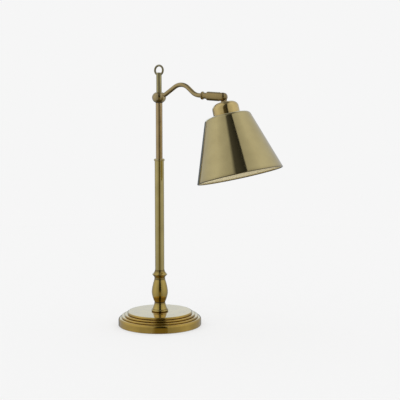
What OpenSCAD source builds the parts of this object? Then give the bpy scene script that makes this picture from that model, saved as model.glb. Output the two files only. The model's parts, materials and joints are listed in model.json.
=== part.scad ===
// Brass task lamp: weighted stepped base, turned baluster, telescopic stem with a ring finial,
// swinging swan-neck arm and a tilting conical shade. Millimetres, +Z up, arm along +X.
// The origin is the centre of the felt's underside.

/* [Base] */
// Outer diameter of the round base
base_d = 163; // [140:1:200]
// Height of the base's outer wall, up to the first step
base_wall_h = 15.8; // [15.2:0.1:24]
// Height of each of the two narrow steps above the wall
step_h = 3.4; // [2.8:0.1:4]
// Height of the plate on top of the steps
crown_h = 4.4; // [3:0.1:6]
// How far each step is set in from the one below
step_in = 5.9; // [4:0.1:8]
// Radius of the rounded shoulder on top of the wall
shoulder_r = 5; // [4:0.1:8]
// Rounding under the lip of each step
lip_under = 1.5; // [1:0.1:2]
// Height of the upright strip round the lip of each step
lip_land = 0.2; // [0.1:0.1:0.6]
// Sheet thickness of the base shell
shell_t = 1.5; // [1:0.1:2]
// Thickness of the felt pad
felt_t = 2.2; // [1.5:0.1:3]
// How far the felt stands out below the shell
felt_proud = 0.6; // [0.4:0.1:1.4]
// Thickness of the steel bottom plate
plate_t = 1.5; // [1:0.1:2]
// How far the plate's edge lies inside the shell, clear of the cord inlet
plate_set_in = 3; // [2.6:0.1:6]
// Diameter of the circle on which the plate's screws lie
screw_circle_d = 90; // [70:1:110]
// Diameter of a plate screw's shank
screw_d = 3.5; // [3:0.1:5]
// How deep a plate screw goes into the ballast
screw_grip = 8; // [6:0.5:12]
// Width of the cord channel in the ballast
channel_w = 9; // [7:0.5:14]
// Height of the cord channel in the ballast
channel_h = 8.5; // [8.4:0.1:10]

/* [Cord inlet] */
// Diameter of the hole that the cord passes through
inlet_bore_d = 6; // [5:0.1:6.4]
// Wall thickness of the grommet
grommet_t = 0.8; // [0.6:0.1:1.2]
// How far the grommet's flanges stand out round its body
grommet_lip = 0.6; // [0.4:0.1:0.9]
// Thickness of the grommet's flanges
grommet_flange_t = 1.6; // [1:0.1:3]

/* [Stem clamp] */
// Diameter of the threaded nipple
nipple_d = 10; // [9:0.5:11]
// Wall thickness of the threaded nipple
nipple_t = 1.6; // [1.2:0.1:2]
// How far the nipple comes out below its nut
nipple_tail = 1; // [0.5:0.1:2]
// Width across the flats of the nipple's nut
nut_af = 17; // [15:0.5:20]
// Thickness of the nipple's nut
nut_t = 5; // [3:0.5:6]
// Diameter of the washer on the nut
washer_d = 24; // [20:1:30]
// Thickness of the washer on the nut
washer_t = 1.5; // [1:0.1:2]
// Depth of the pocket for nut and washer in the ballast's underside
pocket_h = 13; // [12:0.5:15]
// Room round the washer in that pocket
pocket_room = 1; // [0.5:0.1:3]

/* [Baluster] */
// Height of the baluster
baluster_h = 82.5; // [79:0.5:110]
// Diameter of the foot
foot_d = 33.4; // [28:0.1:44]
// Height of the foot's rounded edge
foot_h = 3.4; // [2:0.1:6]
// Diameter of the waist, a sharp crease above the foot
waist_d = 21; // [20:0.1:30]
// Height of the waist
waist_z = 18.5; // [12:0.5:24]
// Diameter of the belly
belly_d = 31.6; // [28:0.1:44]
// Height of the widest part of the belly
belly_z = 38.5; // [30:0.5:48]
// Diameter of the neck above the belly
neck_d = 20.6; // [20:0.1:27]
// Height at which the belly runs out into the neck
neck_z = 64.5; // [56:0.5:66]
// Height of the fillet round the neck
fillet_h = 2; // [1:0.1:3]
// How far the fillet stands out round the neck
fillet_out = 0.4; // [0.2:0.1:1]
// Diameter of the bead near the top
bead_d = 29.8; // [26:0.1:40]
// Height of the bead's widest line
bead_z = 73; // [71:0.1:77]
// How deep the lower tube sits in the baluster's top
tube_socket = 3; // [2:0.5:6]
// Width of the lip round the lower tube at the baluster's top
baluster_lip = 0.4; // [0.2:0.1:1]

/* [Stem] */
// Length of the lower tube that shows
lower_tube_shown = 213; // [180:1:260]
// Wall thickness of the lower tube
lower_tube_t = 1.2; // [0.8:0.1:2]
// Height of the plug in the lower tube's foot
plug_h = 12; // [8:0.5:20]
// Height of the bead collar on the lower tube
collar_h = 4.9; // [4:0.1:8]
// How far the bead collar stands out round the lower tube
collar_out = 1.3; // [0.8:0.1:3]
// Thickness of the collar's inner lip
collar_lip = 1.4; // [1:0.1:2]
// Wall thickness of the guide and friction bushes
bush_t = 1.2; // [0.8:0.1:2]
// Length of the guide bush in the lower tube's top
guide_bush_len = 24; // [15:1:40]
// Length of the friction bush on the upper tube's foot
friction_bush_len = 18; // [12:1:30]
// Thickness of the friction bush's floor
bush_floor = 2; // [1:0.1:4]
// Diameter of the upper tube
upper_tube_d = 13; // [12:0.1:16]
// Wall thickness of the upper tube
upper_tube_t = 1.2; // [0.6:0.05:1.6]
// Length of the upper tube
upper_tube_len = 206; // [185:1:215]
// Length of the upper tube that shows at rest
upper_tube_shown = 107.55; // [90:0.05:125]
// Thickness of the thrust washer under the ball
thrust_t = 0.9; // [0.5:0.1:2]
// How far the thrust washer stands out round the upper tube
thrust_out = 0.5; // [0.3:0.1:0.8]

/* [Rod and ring] */
// How far the rod goes down inside the upper tube
rod_grip = 26; // [15:1:60]
// Height of the rod's top above the ball's centre
rod_rise = 47.6; // [36:0.1:70]
// Rounding of the rod's top edge
rod_round = 2.2; // [1:0.1:3]
// Diameter of the blind hole that the wires use in the rod
rod_bore_d = 7.6; // [6:0.1:8]
// Diameter of the wire window in the rod's side
rod_window_d = 5; // [4:0.1:6]
// Outside diameter of the ring finial
ring_d = 22; // [18:0.1:30]
// Thickness of the ring's wire
ring_wire = 4; // [3:0.1:5]
// How deep the ring sits in the rod's top
ring_sunk = 6.6; // [5:0.1:9]

/* [Ball] */
// Diameter of the ball boss, which is a little flattened
ball_d = 27; // [25:0.1:36]
// Height of the ball boss before its foot is cut flat
ball_h = 21.6; // [20:0.1:26]
// Height of the wire chamber inside the ball
chamber_h = 8; // [6:0.5:9]
// Depth of the wire chamber outside the rod
chamber_w = 2.8; // [2:0.1:4]
// Diameter of the swivel grub screw
grub_d = 4; // [3:0.1:4.4]
// Width across the flats of the grub screw's key socket
grub_key_af = 2; // [1.5:0.1:2.2]
// Diameter of the grub screw's point
grub_point_d = 2; // [1.4:0.1:2.4]
// Height of the grub screw above the ball's centre
grub_z = 7; // [6.8:0.1:7.4]
// How deep the grub screw's outer end lies in its hole
grub_sunk = 0.6; // [0.2:0.1:1]
// Depth of the groove in the rod for the grub screw's point
groove_depth = 0.9; // [0.5:0.1:1.2]
// How far the arm swings to each side before the groove ends
swing_limit = 150; // [90:1:160]

/* [Arm] */
// Diameter of the arm tube
arm_d = 8.5; // [7.5:0.1:11]
// Wall thickness of the arm tube
arm_t = 1.2; // [0.8:0.1:1.6]
// Rise of the arm where it leaves the ball
rise_out = 20; // [10:1:25]
// Length of straight tube between the ball and the first curve
run_out = 0.5; // [0.2:0.1:6]
// Bend radius of the upward curve
bend_up_r = 15; // [10:0.5:40]
// Rise of the straight climb
rise_climb = 33; // [28:0.5:45]
// Length of the straight climb
run_climb = 23.5; // [15:0.5:40]
// Bend radius of the crest
crest_r = 24.5; // [15:0.5:40]
// Fall of the straight descent
fall_descent = 41; // [20:1:55]
// Length of the straight descent
run_descent = 13.5; // [5:0.5:30]
// Bend radius of the last curve
bend_out_r = 24.5; // [15:0.5:40]
// Droop of the arm's end and the knuckle
droop = 4.6; // [0:0.1:12]
// Length of bare tube between the last curve and the ferrule
run_bare = 5.2; // [1:0.1:20]

/* [Knuckle] */
// Length of the ferrule
ferrule_len = 12.9; // [8:0.1:20]
// Diameter of the ferrule
ferrule_d = 11.6; // [11:0.1:16]
// Diameter of the bead on the ferrule's end
ferrule_bead_d = 15.4; // [14:0.1:18]
// Width of that bead
ferrule_bead_w = 4.6; // [1.5:0.1:6]
// Diameter of the knuckle
knuckle_d = 16.8; // [15.5:0.1:17.4]
// Length of the knuckle from the ferrule to the pivot
knuckle_len = 33.4; // [30:0.1:50]
// Rounding of the knuckle's rear edge
knuckle_round = 1.2; // [0.5:0.1:2]
// How deep the arm tube sits in the knuckle
arm_grip = 12; // [8:0.5:16]
// Thickness of the tongue
tongue_t = 5.8; // [5:0.1:7]
// How far the tongue's round edge lies inside the knuckle's
tongue_inset = 0.3; // [0.1:0.1:1]
// Width of the tongue's foot
tongue_w = 10.2; // [10:0.1:15]
// Thickness of each friction washer
pivot_washer_t = 0.5; // [0.3:0.1:0.8]
// Diameter of each friction washer
pivot_washer_d = 11; // [9:0.1:13]
// Diameter of the pivot screw
pivot_d = 4; // [3:0.1:4.5]
// Diameter of the pivot screw's head
pivot_head_d = 6.8; // [6:0.1:8]
// Thickness of the pivot screw's head
pivot_head_t = 1.8; // [1:0.1:2.2]
// How deep the pivot screw's head lies below the knuckle's side
pivot_head_sunk = 1; // [0.6:0.1:1.4]
// Metal left beyond the end of the pivot screw's blind hole
pivot_blind_wall = 1.4; // [0.8:0.1:2.4]
// Width of the driver slot in the pivot screw's head
pivot_slot_w = 1; // [0.6:0.1:1.5]
// Diameter of the wire hole in the tongue
wire_hole_d = 3.2; // [2.5:0.1:3.4]
// Metal between the pivot's hole and the wire hole
wire_web = 0.6; // [0.4:0.1:0.8]

/* [Head] */
// Tilt of the shade's axis from upright
head_tilt = 14; // [0:0.1:40]
// Distance from the pivot down to the cap's top
cap_drop = 10.7; // [9.5:0.1:14]
// Diameter of the cap
cap_d = 49.5; // [46:0.5:70]
// Height of the cap
cap_h = 22.4; // [20:0.1:30]
// Radius of the cap's rounded shoulder
cap_round = 11.5; // [6:0.1:13]
// Sheet thickness of the cap
cap_t = 1.2; // [0.8:0.1:1.8]
// Diameter of the tongue's threaded stud
stud_d = 10; // [9.5:0.1:11]
// Length of the tongue's threaded stud
stud_len = 14.2; // [12:0.1:16]
// Width across the flats of the cap's nut
cap_nut_af = 15; // [14:0.5:18]
// Thickness of the cap's nut
cap_nut_t = 3.5; // [2.5:0.1:4]

/* [Lampholder] */
// Diameter of the lampholder
holder_d = 28.2; // [26:0.1:31]
// Length of the lampholder's skirt below its flange
holder_skirt = 30.8; // [26:0.1:40]
// Height of the lampholder's shoulder above its flange
holder_upper = 10; // [8:0.1:11]
// Diameter of the lampholder's threaded boss
boss_d = 17; // [15:0.1:20]
// Diameter of the lampholder's flange
flange_d = 36; // [34:0.1:42]
// Thickness of the lampholder's flange
flange_t = 2; // [1:0.1:3]
// Diameter of the wiring chamber in the lampholder
wiring_d = 20; // [16:0.5:22]
// Thickness of the wall between wiring chamber and socket
partition_t = 4; // [3:0.1:6]
// Depth of the lamp socket
socket_depth = 24; // [22:0.1:26]
// Wall thickness of the screw shell
screw_shell_t = 0.7; // [0.4:0.1:1]
// Diameter of the centre contact
contact_d = 5; // [4:0.1:8]
// Thickness of the centre contact
contact_t = 1.2; // [0.6:0.1:2]
// Height of the shade ring
shade_ring_h = 4.5; // [3:0.1:8]
// Width of the shade ring outside the skirt
shade_ring_w = 4.8; // [3:0.1:7]

/* [Shade] */
// Sheet thickness of the shade
shade_t = 0.9; // [0.6:0.1:1.5]
// Diameter at the corner where top and side meet
shade_top_d = 84.5; // [76:0.5:110]
// Diameter at the rim
shade_rim_d = 160; // [140:1:200]
// Height of the shade's side
shade_side_h = 112; // [100:1:140]
// Slope of the shade's top
shade_top_slope = 12; // [5:1:25]
// Rounding of the corner between top and side
shade_round = 6; // [3:0.1:10]
// Width of the flat that stands out round the cap
shade_land = 1; // [0.5:0.1:3]
// Thickness of the rolled rim
rim_bead_d = 3.4; // [2.4:0.1:5]

/* [Bulb] */
// Diameter of the bulb's screw cap
bulb_cap_d = 13.8; // [13:0.1:14.2]
// Diameter of the glass
bulb_d = 45; // [38:0.5:50]
// Distance from the lampholder's mouth to the widest part of the glass
bulb_reach = 30; // [27:0.5:36]
// Wall thickness of the glass
glass_t = 0.8; // [0.6:0.1:1.2]
// Height above the widest part at which the glass runs off to the neck
bulb_shoulder = 8; // [4:0.5:12]
// Height of the solder tip on the screw cap
bulb_tip = 2.5; // [1.5:0.1:4]
// Diameter of the solder tip's foot
bulb_tip_d = 8; // [6:0.1:11]

/* [Fits] */
// Radial clearance where one piece turns or slides on another
run_gap = 0.05; // [0.02:0.01:0.1]
// Radial clearance where pieces of one body are screwed, pressed or brazed together
fit_gap = 0.05; // [0.02:0.01:0.1]
// Radial clearance of holes that a bolt, tube or cord passes through
hole_gap = 0.2; // [0.1:0.05:0.4]
// Clearance between flat faces that turn on each other
face_gap = 0.1; // [0.05:0.01:0.2]
// Clearance between a moving edge and the fixed metal that it passes
pass_gap = 0.4; // [0.3:0.05:0.6]

/* [Hidden] */
$fn = 96;
steps = 3;
plate_screws_n = 3;
// How far a cutting shape runs past the face that it opens
past = 1;
// Angle left over at each end of the swivel groove
groove_spare = 1;
// How sharply the baluster's curves turn: foot, belly, neck and bead
cove_power = 1.5;
belly_power = 1.7;
neck_power = 1.55;
bead_power = 2;

// Colours of the finishes
brass = [0.62, 0.53, 0.32];
bright_brass = [0.72, 0.61, 0.36];
steel = [0.6, 0.6, 0.62];
iron = [0.25, 0.25, 0.26];
felt = [0.16, 0.13, 0.1];
nylon = [0.86, 0.84, 0.78];
phenolic = [0.1, 0.09, 0.08];
rubber = [0.12, 0.11, 0.1];
opal = [0.95, 0.94, 0.9];

// Base: radii and heights
base_r = base_d / 2;
base_h = step_top(steps);
shoulder_z = base_wall_h - shoulder_r;
plate_top = felt_t + plate_t;
felt_r = base_r - shell_t - hole_gap;
plate_r = base_r - shell_t - plate_set_in;
ballast_top = base_h - shell_t;
ballast_r = step_in_r(steps) - hole_gap;
pocket_top = plate_top + pocket_h;
screw_head_h = plate_t - face_gap;
screw_head_r = screw_d / 2 + screw_head_h;
grommet_r = inlet_bore_d / 2 + grommet_t;
grommet_flange_r = grommet_r + grommet_lip;
inlet_z = felt_t + grommet_flange_r + hole_gap;

// Stem clamp: heights
nipple_r = nipple_d / 2;
washer_z = pocket_top - washer_t;
nut_z = washer_z - nut_t;
nipple_z = nut_z - nipple_tail;

// Stem: radii and heights
upper_tube_r = upper_tube_d / 2;
bush_r = upper_tube_r + fit_gap + bush_t;
lower_tube_in_r = bush_r + run_gap;
lower_tube_r = lower_tube_in_r + lower_tube_t;
rod_r = upper_tube_r - upper_tube_t - fit_gap;
baluster_top = base_h + baluster_h;
lower_tube_z = baluster_top - tube_socket;
plug_top = lower_tube_z + plug_h;
collar_z = baluster_top + lower_tube_shown;
collar_top = collar_z + collar_h;
lower_tube_top = collar_top - collar_lip;
upper_tube_top = collar_top + upper_tube_shown;
upper_tube_z = upper_tube_top - upper_tube_len;
thrust_r = upper_tube_r + thrust_out;
ball_foot = upper_tube_top + thrust_t + face_gap;
ball_r = ball_d / 2;
ball_round = ball_h / 2;
ball_core_r = ball_r - ball_round;
ball_foot_r = thrust_r + thrust_out;
ball_z = ball_foot + sqrt(pow(ball_round, 2) - pow(ball_foot_r - ball_core_r, 2));
rod_z = upper_tube_top - rod_grip;
rod_top = ball_z + rod_rise;
ring_r = ring_d / 2;
ring_z = rod_top - ring_sunk + ring_r;
groove_r = rod_r - groove_depth;
groove_w = grub_point_d + 2 * pass_gap;
groove_half_angle = swing_limit + asin(grub_point_d / 2 / groove_r) + groove_spare;

// Arm: the centre line's points, each with the heading it leaves in
arm_r = arm_d / 2;
arm_bore_r = arm_r - arm_t;
chamber_r = rod_r + chamber_w;
arm_start = chamber_r + fit_gap;
bend_lap = 0.5;
bend_swell = 0.03;
p_ball = [0, 0, ball_z];
p_bend_up = go(p_ball, rise_out, ball_r + run_out);
p_climb = turn(p_bend_up, rise_out, rise_climb, bend_up_r);
p_crest = go(p_climb, rise_climb, run_climb);
p_descent = turn(p_crest, rise_climb, -fall_descent, crest_r);
p_bend_out = go(p_descent, -fall_descent, run_descent);
p_bare = turn(p_bend_out, -fall_descent, -droop, bend_out_r);
p_ferrule = go(p_bare, -droop, run_bare);
p_knuckle = go(p_ferrule, -droop, ferrule_len);
pivot = go(p_knuckle, -droop, knuckle_len);
run_end = run_bare + ferrule_len + arm_grip;

// Knuckle and tongue
knuckle_r = knuckle_d / 2;
slot_w = tongue_t + 2 * pivot_washer_t + 2 * face_gap;
tongue_r = knuckle_r - tongue_inset;
slot_root = tongue_r + pass_gap;
pivot_r = pivot_d / 2;
pivot_head_y = knuckle_r - pivot_head_sunk - pivot_head_t;
pivot_tip_y = knuckle_r - pivot_blind_wall;
wire_r = wire_hole_d / 2;
wire_side = pivot_r + run_gap + wire_web + wire_r;
stud_r = stud_d / 2;

// Head: heights below the pivot along the shade's axis
cap_r = cap_d / 2;
cap_top = -cap_drop;
cap_rim = cap_top - cap_h;
cap_nut_z = cap_top - cap_t - cap_nut_t;
stud_end = cap_top - stud_len;
holder_r = holder_d / 2;
holder_top = cap_nut_z - hole_gap;
holder_shoulder = cap_rim + holder_upper;
holder_mouth = cap_rim - holder_skirt;
socket_top = holder_mouth + socket_depth;
wiring_z = socket_top + partition_t;
bulb_cap_r = bulb_cap_d / 2;
screw_shell_in_r = bulb_cap_r + fit_gap;
socket_r = screw_shell_in_r + screw_shell_t + fit_gap;
contact_z = socket_top - contact_t;
shade_hole_r = holder_r + hole_gap;
bulb_cap_top = contact_z - face_gap - bulb_tip;
bulb_cap_end = holder_mouth - bulb_tip;
bulb_r = bulb_d / 2;
bulb_z = holder_mouth - bulb_reach;
bulb_shoulder_r = sqrt(bulb_r * bulb_r - bulb_shoulder * bulb_shoulder);
neck_r = bulb_cap_r - fit_gap;

// Shade: profile values, with Z along the shade's axis
shade_flat_r = cap_r + shade_land;
shade_corner_r = shade_top_d / 2;
shade_rim_r = shade_rim_d / 2;
shade_corner_z = cap_rim - (shade_corner_r - shade_flat_r) * tan(shade_top_slope);
shade_rim_z = shade_corner_z - shade_side_h;
shade_side_slope = 90 - atan((shade_rim_r - shade_corner_r) / shade_side_h);
shade_side_in = -[sin(shade_side_slope), cos(shade_side_slope)];
shade_rim = [shade_rim_r, shade_rim_z];
shade_arc = shade_corner_centre();
rim_bead_r = rim_bead_d / 2;

// A step's outer radius, inner radius and top, counted up from the wall
function step_r(i) = base_r - i * step_in;
function step_in_r(i) = step_r(i) - lip_under - shell_t;
function step_top(i) = base_wall_h + min(i, steps - 1) * step_h + (i < steps ? 0 : crown_h);

// The inside radius of the base's wall at a height
function wall_in_r(z) =
    base_r - shoulder_r + sqrt(pow(shoulder_r - shell_t, 2) - pow(max(z - shoulder_z, 0), 2));

// A point on a straight run, and one at the end of a bend, in the arm's upright plane
function heading(a) = [cos(a), 0, sin(a)];
function upward(a) = [-sin(a), 0, cos(a)];
function go(p, a, run) = p + run * heading(a);
function turn(p, a, b, r) = p + sign(b - a) * r * (upward(a) - upward(b));

// Points of a turned curve from one height and radius to the next, without the first: one that
// starts upright and ends aslant, and one that starts aslant and ends upright
function flare(h0, r0, h1, r1, power, n = 14) =
    [for (k = [1:n]) [r0 + (r1 - r0) * pow(k / n, power), h0 + (h1 - h0) * k / n]];
function settle(h0, r0, h1, r1, power, n = 14) =
    [for (k = [1:n]) [r1 + (r0 - r1) * pow(1 - k / n, power), h0 + (h1 - h0) * k / n]];

// Points of an arc about a centre, from one angle to another
function arc(c, r, a, b, n = 12) =
    [for (k = [0:n]) c + r * [cos(a + (b - a) * k / n), sin(a + (b - a) * k / n)]];

// Centre of the arc that rounds the shade's corner, tangent to its top and side
function shade_corner_centre() =
    let (n1 = -[sin(shade_top_slope), cos(shade_top_slope)])
    let (n2 = -[sin(shade_side_slope), cos(shade_side_slope)])
    [shade_corner_r, shade_corner_z] + shade_round * (n1 + n2) / (1 + n1 * n2);

// A flat ring or tube standing on the XY plane
module tube(r_out, r_in, h) {
    difference() {
        cylinder(r = r_out, h = h);
        translate([0, 0, -past]) cylinder(r = r_in, h = h + 2 * past);
    }
}

// A half section whose upper outer corner is rounded
module rounded_section(r, z0, z1, corner) {
    translate([0, z0]) square([r, z1 - corner - z0]);
    translate([0, z0]) square([r - corner, z1 - z0]);
    translate([r - corner, z1 - corner]) intersection() {
        circle(corner);
        square(corner);
    }
}

// A half section of one step, undercut and rounded at its lip, that runs down into the step below
module lipped_section(r, z0, z1) {
    over = z1 - z0 - lip_under - lip_land;
    polygon(concat(
        [[0, z0 - lip_under], [r - lip_under, z0 - lip_under]],
        arc([r - lip_under, z0 + lip_under], lip_under, -90, 0),
        arc([r - over, z1 - over], over, 0, 90),
        [[0, z1]]
    ));
}

// A half section of a bead with a half-round nose
module nosed_section(r, z0, h) {
    translate([0, z0]) square([r - h / 2, h]);
    translate([r - h / 2, z0 + h / 2]) circle(h / 2);
}

// Puts its children on the arm's centre line, with +X along the heading
module on_arm(p, a) {
    translate(p) rotate([0, -a, 0]) children();
}

// A round bar along +X
module bar(r, run) {
    rotate([0, 90, 0]) cylinder(r = r, h = run);
}

// A round bar bent up (or down, with a negative angle), starting along +X
module bent_bar(r, bend_r, angle) {
    if (angle < 0) mirror([0, 0, 1]) bent_bar(r, bend_r, -angle);
    else translate([0, 0, bend_r])
        rotate([90, 90, 0])
            rotate_extrude(angle = angle)
                translate([bend_r, 0]) circle(r);
}

// The arm's whole run as a round bar, from inside the ball into the knuckle. Each straight laps
// into the bends beside it, and the bends are a hair thicker, so that their faces never coincide.
module arm_run(r, spare) {
    bend = r + bend_swell;
    on_arm(go(p_ball, rise_out, arm_start - spare), rise_out)
        bar(r, ball_r + run_out - arm_start + spare + bend_lap);
    on_arm(p_bend_up, rise_out) bent_bar(bend, bend_up_r, rise_climb - rise_out);
    on_arm(go(p_climb, rise_climb, -bend_lap), rise_climb) bar(r, run_climb + 2 * bend_lap);
    on_arm(p_crest, rise_climb) bent_bar(bend, crest_r, -fall_descent - rise_climb);
    on_arm(go(p_descent, -fall_descent, -bend_lap), -fall_descent) bar(r, run_descent + 2 * bend_lap);
    on_arm(p_bend_out, -fall_descent) bent_bar(bend, bend_out_r, fall_descent - droop);
    on_arm(go(p_bare, -droop, -bend_lap), -droop) bar(r, run_end + bend_lap + spare);
}

// Puts its children at the pivot, with Z along the shade's axis
module in_head() {
    translate(pivot) rotate([0, -head_tilt, 0]) children();
}

// Puts its children on each plate screw's axis
module at_plate_screws() {
    for (i = [0:plate_screws_n - 1])
        rotate([0, 0, i * 360 / plate_screws_n])
            translate([screw_circle_d / 2, 0, felt_t]) children();
}

// Base

module base_shell() {
    color(brass) difference() {
        union() {
            rotate_extrude() rounded_section(base_r, felt_proud, base_wall_h, shoulder_r);
            for (i = [1:steps]) rotate_extrude() lipped_section(step_r(i), step_top(i - 1), step_top(i));
        }
        rotate_extrude() {
            rounded_section(base_r - shell_t, 0, base_wall_h - shell_t, shoulder_r - shell_t);
            for (i = [1:steps]) square([step_in_r(i), step_top(i) - shell_t]);
        }
        cylinder(r = nipple_r + hole_gap, h = base_h + past);
        translate([-base_r - past, 0, inlet_z]) bar(grommet_r + fit_gap, 3 * shell_t + past);
    }
}

module ballast() {
    color(iron) difference() {
        translate([0, 0, plate_top]) cylinder(r = ballast_r, h = ballast_top - plate_top);
        cylinder(r = nipple_r + hole_gap, h = base_h);
        cylinder(r = washer_d / 2 + pocket_room, h = pocket_top);
        translate([-base_r, -channel_w / 2, 0]) cube([base_r, channel_w, plate_top + channel_h]);
        at_plate_screws() cylinder(d = screw_d + 2 * fit_gap, h = plate_t + screw_grip + past);
    }
}

module bottom_plate() {
    color(steel) difference() {
        translate([0, 0, felt_t]) cylinder(r = plate_r, h = plate_t);
        at_plate_screws() plate_screw_head(fit_gap);
        at_plate_screws() cylinder(d = screw_d + 2 * fit_gap, h = plate_t + past);
    }
}

module felt_pad() {
    color(felt) cylinder(r = felt_r, h = felt_t);
}

// The countersunk head of a plate screw, grown by a clearance for its hole
module plate_screw_head(gap) {
    cylinder(r1 = screw_head_r + gap, r2 = screw_d / 2 + gap, h = screw_head_h);
}

module plate_screws() {
    color(steel) at_plate_screws() {
        plate_screw_head(0);
        cylinder(d = screw_d, h = plate_t + screw_grip);
    }
}

module inlet_grommet() {
    outer_x = -base_r;
    shoulder_x = wall_in_r(inlet_z + grommet_flange_r);
    side_x = sqrt(pow(wall_in_r(0), 2) - pow(grommet_flange_r, 2));
    inner_x = -min(shoulder_x, side_x);
    color(rubber) difference() {
        union() {
            translate([outer_x - grommet_flange_t, 0, inlet_z])
                bar(grommet_flange_r, grommet_flange_t);
            translate([inner_x, 0, inlet_z]) bar(grommet_flange_r, grommet_flange_t);
            translate([outer_x - 0.5 * grommet_flange_t, 0, inlet_z])
                bar(grommet_r, inner_x - outer_x + grommet_flange_t);
        }
        translate([outer_x - 2 * grommet_flange_t, 0, inlet_z])
            bar(inlet_bore_d / 2, inner_x - outer_x + 4 * grommet_flange_t);
    }
}

// Stem clamp

module stem_nipple() {
    color(steel) translate([0, 0, nipple_z]) tube(nipple_r, nipple_r - nipple_t, plug_top - nipple_z);
}

module nipple_washer() {
    color(steel) translate([0, 0, washer_z]) tube(washer_d / 2, nipple_r + hole_gap, washer_t);
}

module nipple_nut() {
    color(steel) translate([0, 0, nut_z]) difference() {
        cylinder(d = nut_af / cos(30), h = nut_t, $fn = 6);
        translate([0, 0, -past]) cylinder(r = nipple_r + fit_gap, h = nut_t + 2 * past);
    }
}

// Stem

module baluster() {
    edge_r = foot_h / 2;
    throat_r = neck_d / 2;
    fillet_r = throat_r + fillet_out;
    fillet_top = neck_z + fillet_h;
    profile = concat(
        [[0, 0]],
        arc([foot_d / 2 - edge_r, edge_r], edge_r, -90, 90),
        settle(foot_h, foot_d / 2 - edge_r, waist_z, waist_d / 2, cove_power),
        settle(waist_z, waist_d / 2, belly_z, belly_d / 2, belly_power),
        flare(belly_z, belly_d / 2, neck_z, throat_r, neck_power),
        [[fillet_r, neck_z], [fillet_r, fillet_top], [throat_r, fillet_top]],
        flare(fillet_top, throat_r, bead_z, bead_d / 2, neck_power),
        settle(bead_z, bead_d / 2, baluster_h, lower_tube_r + baluster_lip, bead_power),
        [[0, baluster_h]]
    );
    color(brass) translate([0, 0, base_h]) difference() {
        rotate_extrude() polygon(profile);
        translate([0, 0, -past]) cylinder(r = nipple_r + hole_gap, h = baluster_h + 2 * past);
        translate([0, 0, baluster_h - tube_socket])
            cylinder(r = lower_tube_r + fit_gap, h = tube_socket + past);
    }
}

module tube_plug() {
    color(steel) translate([0, 0, lower_tube_z])
        tube(lower_tube_in_r - fit_gap, nipple_r + fit_gap, plug_h);
}

module lower_tube() {
    color(brass) translate([0, 0, lower_tube_z])
        tube(lower_tube_r, lower_tube_in_r, lower_tube_top - lower_tube_z);
}

module guide_bush() {
    color(nylon) translate([0, 0, lower_tube_top - guide_bush_len])
        tube(lower_tube_in_r - fit_gap, upper_tube_r + run_gap, guide_bush_len);
}

module tube_collar() {
    color(brass) difference() {
        rotate_extrude() nosed_section(lower_tube_r + collar_out, collar_z, collar_h);
        translate([0, 0, collar_z - past])
            cylinder(r = lower_tube_r + fit_gap, h = lower_tube_top - collar_z + past);
        translate([0, 0, collar_z]) cylinder(r = upper_tube_r + pass_gap, h = collar_h + past);
    }
}

// Sliding post

module upper_tube() {
    color(brass) translate([0, 0, upper_tube_z]) tube(upper_tube_r, rod_r + fit_gap, upper_tube_len);
}

module friction_bush() {
    color(nylon) translate([0, 0, upper_tube_z - bush_floor]) difference() {
        cylinder(r = bush_r, h = friction_bush_len + bush_floor);
        translate([0, 0, -past]) cylinder(r = rod_r, h = bush_floor + 2 * past);
        translate([0, 0, bush_floor]) cylinder(r = upper_tube_r + fit_gap, h = friction_bush_len + past);
    }
}

module rod() {
    color(brass) difference() {
        rotate_extrude() rounded_section(rod_r, rod_z, rod_top, rod_round);
        translate([0, 0, rod_z - past]) cylinder(d = rod_bore_d, h = ball_z + chamber_h / 2 - rod_z + past);
        translate([0, 0, ball_z]) bar(rod_window_d / 2, ball_r);
        translate([0, 0, ring_z])
            rotate([90, 0, 0])
                cylinder(r = ring_r + fit_gap, h = ring_wire + 2 * fit_gap, center = true);
        translate([0, 0, ball_z + grub_z])
            rotate([0, 0, 180 - groove_half_angle])
                rotate_extrude(angle = 2 * groove_half_angle)
                    translate([groove_r, -groove_w / 2]) square([2 * groove_depth, groove_w]);
    }
}

module thrust_washer() {
    color(nylon) translate([0, 0, upper_tube_top]) tube(thrust_r, rod_r + fit_gap, thrust_t);
}

module ring_finial() {
    color(brass) translate([0, 0, ring_z])
        rotate([90, 0, 0])
            rotate_extrude() translate([ring_r - ring_wire / 2, 0]) circle(d = ring_wire);
}

// Swinging arm

module ball_boss() {
    color(brass) difference() {
        translate(p_ball) rotate_extrude() intersection() {
            translate([ball_core_r, 0]) circle(ball_round);
            translate([0, -ball_round]) square([ball_r, ball_h]);
        }
        translate([0, 0, ball_foot - ball_r]) cylinder(r = ball_r, h = ball_r);
        translate([0, 0, ball_z - ball_d]) cylinder(r = rod_r + run_gap, h = 2 * ball_d);
        translate([0, 0, ball_z - chamber_h / 2]) cylinder(r = chamber_r, h = chamber_h);
        on_arm(p_ball, rise_out) translate([chamber_r, 0, 0]) bar(arm_r + fit_gap, ball_r);
        translate([-ball_d, 0, ball_z + grub_z]) bar(grub_d / 2 + fit_gap, ball_d);
    }
}

module swivel_screw() {
    outer_x = grub_sunk - ball_core_r - sqrt(pow(ball_round, 2) - pow(grub_z, 2));
    shank_x = -rod_r - pass_gap;
    point_x = -groove_r - hole_gap;
    color(steel) translate([0, 0, ball_z + grub_z]) difference() {
        union() {
            translate([outer_x, 0, 0]) bar(grub_d / 2, shank_x - outer_x);
            translate([shank_x - hole_gap, 0, 0]) bar(grub_point_d / 2, point_x - shank_x + hole_gap);
        }
        translate([outer_x - past, 0, 0])
            rotate([0, 90, 0]) cylinder(d = grub_key_af / cos(30), h = past + grub_d / 2, $fn = 6);
    }
}

module arm_tube() {
    color(brass) difference() {
        arm_run(arm_r, 0);
        arm_run(arm_bore_r, past);
    }
}

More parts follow.
